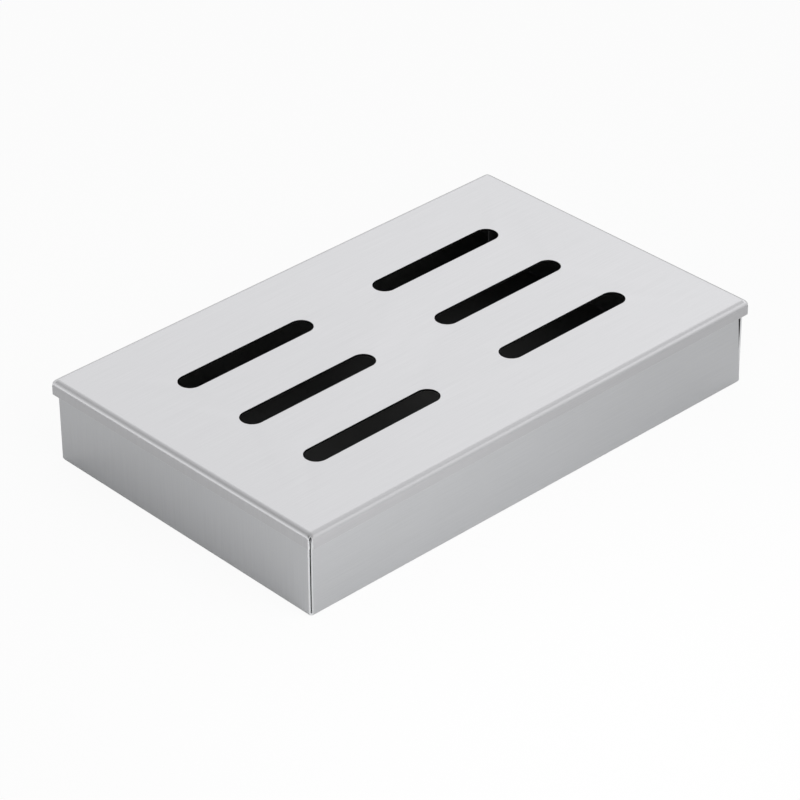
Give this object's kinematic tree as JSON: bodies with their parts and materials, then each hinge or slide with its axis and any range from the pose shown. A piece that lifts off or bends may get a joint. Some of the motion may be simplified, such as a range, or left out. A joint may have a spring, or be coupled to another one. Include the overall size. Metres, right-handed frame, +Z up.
{
  "type": "grill smoker box",
  "caption": "Low open steel tray for wood chips with a loose slotted lid, both folded from sheet with open corners.",
  "frame": {"origin": "middle of the tray's underside", "axes": "+X along the long side, +Y along the short side, +Z up out of the tray"},
  "size_m": [0.21, 0.131, 0.0335],
  "materials": {
    "brushed_stainless": "brushed along the long side of the box"
  },
  "bodies": {
    "tray": {"tray": "brushed_stainless"},
    "lid": {"lid": "brushed_stainless"}
  },
  "joints": [
    {"name": "lid_lift", "type": "slide", "parent": "tray", "child": "lid", "axis": [0, 0, 1], "range_m": [0, 0.06]}
  ]
}
